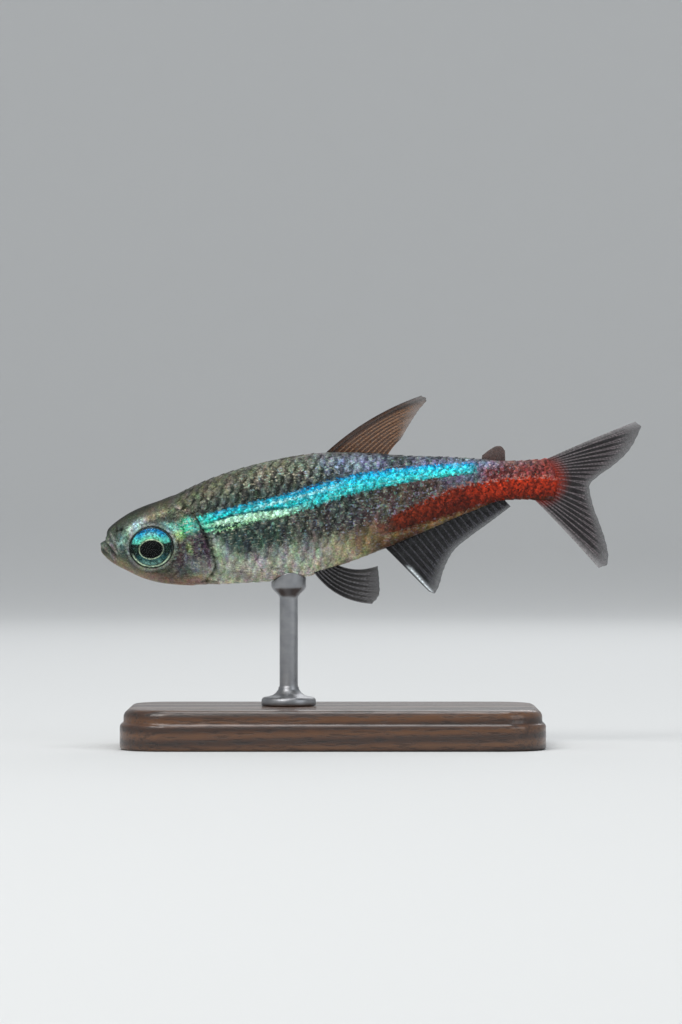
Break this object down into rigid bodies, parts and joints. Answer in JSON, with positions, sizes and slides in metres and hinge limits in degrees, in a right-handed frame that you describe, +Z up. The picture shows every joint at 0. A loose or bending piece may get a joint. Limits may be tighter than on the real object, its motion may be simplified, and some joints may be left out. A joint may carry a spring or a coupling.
{
  "type": "neon tetra",
  "caption": "Life-size neon tetra, a slender striped aquarium fish with ray-ridged fins, held still by a short rod on a flat rounded base.",
  "frame": {"origin": "Middle of the whole model's box at floor level, under the stand's flat base.", "axes": "+Z up. The fish's length runs along X, snout towards -X and tail towards +X, pitched nose down; its left side faces -Y."},
  "size_m": [0.0296, 0.0126, 0.0192],
  "materials": {
    "head_skin": "wet translucent skin, olive over pale grey with a purplish gill cover",
    "trunk_skin": "small wet scales, olive back, blue-green stripe, silvery belly",
    "tail_skin": "small wet scales, orange-red below and violet-grey above",
    "eye": "clear dome over a blue-green iris and a black pupil",
    "fin_membrane": "thin smoky see-through membrane with darker jointed rays",
    "stand_wood": "dark stained wood, satin",
    "stand_steel": "satin steel"
  },
  "bodies": {
    "root": {"head": "head_skin", "trunk": "trunk_skin", "tail_stem": "tail_skin", "eye_left": "eye", "eye_right": "eye", "dorsal_fin": "fin_membrane", "adipose_fin": "fin_membrane", "anal_fin": "fin_membrane", "tail_fin_upper": "fin_membrane", "tail_fin_lower": "fin_membrane", "pelvic_fin_left": "fin_membrane", "pelvic_fin_right": "fin_membrane", "pectoral_fin_left": "fin_membrane", "pectoral_fin_right": "fin_membrane", "stand_base": "stand_wood", "stand_rod": "stand_steel"}
  },
  "joints": []
}
